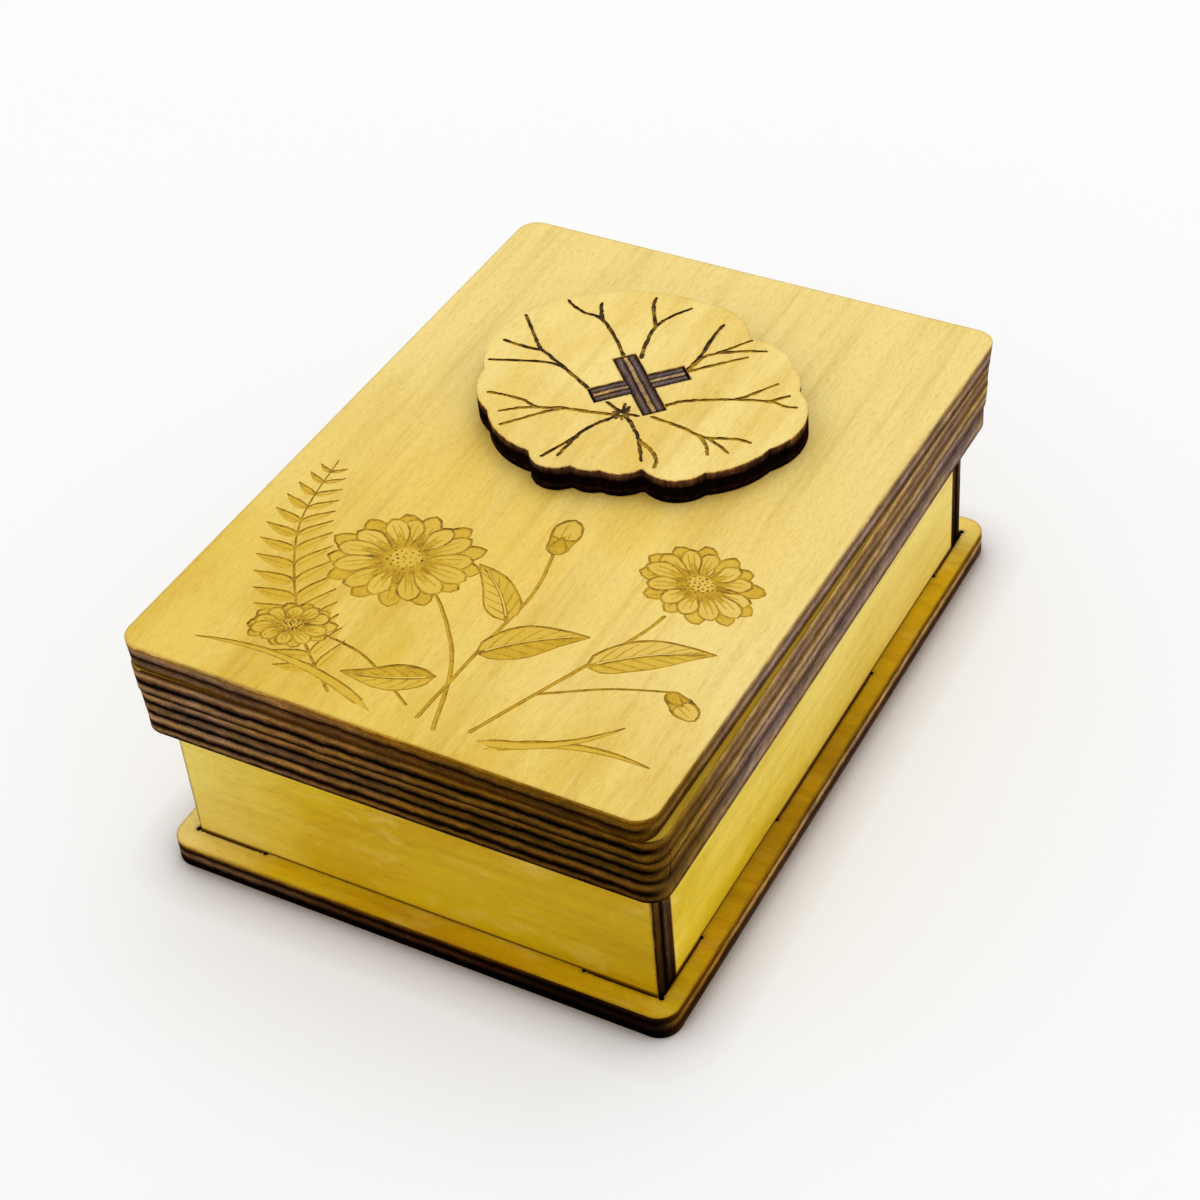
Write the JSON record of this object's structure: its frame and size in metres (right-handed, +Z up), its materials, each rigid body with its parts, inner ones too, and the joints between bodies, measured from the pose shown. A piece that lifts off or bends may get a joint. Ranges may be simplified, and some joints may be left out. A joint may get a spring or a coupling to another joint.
{
  "type": "puzzle box",
  "caption": "Rectangular plywood puzzle box with a lift-off cap lid, locked by sliding bolts that a leaf-shaped turning knob drives through a scroll cam.",
  "frame": {"origin": "middle of the base plate's underside, which is the bottom centre of the bounding box", "axes": "+X right along the short front side, +Y to the back, +Z up"},
  "size_m": [0.0815, 0.1102, 0.0454],
  "materials": {
    "stained_birch_ply_light": "satin yellow stain",
    "stained_birch_ply": "satin yellow stain",
    "burnt_ply_edge": "laser-burnt edge",
    "plain_birch_ply": "bare",
    "beech_dowel": "bare"
  },
  "bodies": {
    "box": {"base_plate": "stained_birch_ply", "front_wall": "stained_birch_ply", "back_wall": "stained_birch_ply", "left_wall": "stained_birch_ply", "right_wall": "stained_birch_ply"},
    "lid": {"cam_housing": "plain_birch_ply", "cover_plate": "plain_birch_ply", "guide_plate_back_left": "plain_birch_ply", "guide_plate_back_right": "plain_birch_ply", "guide_plate_front_left": "plain_birch_ply", "guide_plate_front_right": "plain_birch_ply", "lid_top_panel": "stained_birch_ply_light", "rim_lower_back_strip": "burnt_ply_edge", "rim_lower_front_strip": "burnt_ply_edge", "rim_lower_left_strip": "burnt_ply_edge", "rim_lower_right_strip": "burnt_ply_edge", "rim_middle_back_strip": "burnt_ply_edge", "rim_middle_front_strip": "burnt_ply_edge", "rim_middle_left_strip": "burnt_ply_edge", "rim_middle_right_strip": "burnt_ply_edge", "rim_upper_back_strip": "burnt_ply_edge", "rim_upper_front_strip": "burnt_ply_edge", "rim_upper_left_strip": "burnt_ply_edge", "rim_upper_right_strip": "burnt_ply_edge"},
    "knob": {"leaf_knob": "stained_birch_ply_light", "axle_blade_over": "burnt_ply_edge", "axle_blade_under": "burnt_ply_edge", "scroll_cam": "plain_birch_ply"},
    "front_bolt": {"front_bolt": "plain_birch_ply", "front_follower_pin": "beech_dowel"},
    "back_bolt": {"back_bolt": "plain_birch_ply", "back_follower_pin": "beech_dowel"},
    "left_bolt": {"left_bolt": "plain_birch_ply", "left_follower_pin": "beech_dowel"},
    "right_bolt": {"right_bolt": "plain_birch_ply", "right_follower_pin": "beech_dowel"}
  },
  "joints": [
    {"name": "lid_lift", "type": "slide", "parent": "box", "child": "lid", "axis": [0, 0, 1], "range_m": [0, 0.045]},
    {"name": "leaf_turn", "type": "hinge", "parent": "lid", "child": "knob", "pos_m": [0.0005, 0.0177, 0.0414], "axis": [0, 0, -1], "range_deg": [0, 70]},
    {"name": "right_bolt_slide", "type": "slide", "parent": "lid", "child": "right_bolt", "axis": [1, 0, 0], "range_m": [0, 0.00421]},
    {"name": "back_bolt_slide", "type": "slide", "parent": "lid", "child": "back_bolt", "axis": [0, 1, 0], "range_m": [0, 0.00421]},
    {"name": "left_bolt_slide", "type": "slide", "parent": "lid", "child": "left_bolt", "axis": [-1, 0, 0], "range_m": [0, 0.00421]},
    {"name": "front_bolt_slide", "type": "slide", "parent": "lid", "child": "front_bolt", "axis": [0, -1, 0], "range_m": [0, 0.00421]}
  ],
  "couplings": [
    {"joint": "right_bolt_slide", "follows": "leaf_turn", "m_per_rad": 0.0034377},
    {"joint": "back_bolt_slide", "follows": "leaf_turn", "m_per_rad": 0.0034377},
    {"joint": "left_bolt_slide", "follows": "leaf_turn", "m_per_rad": 0.0034377},
    {"joint": "front_bolt_slide", "follows": "leaf_turn", "m_per_rad": 0.0034377}
  ]
}
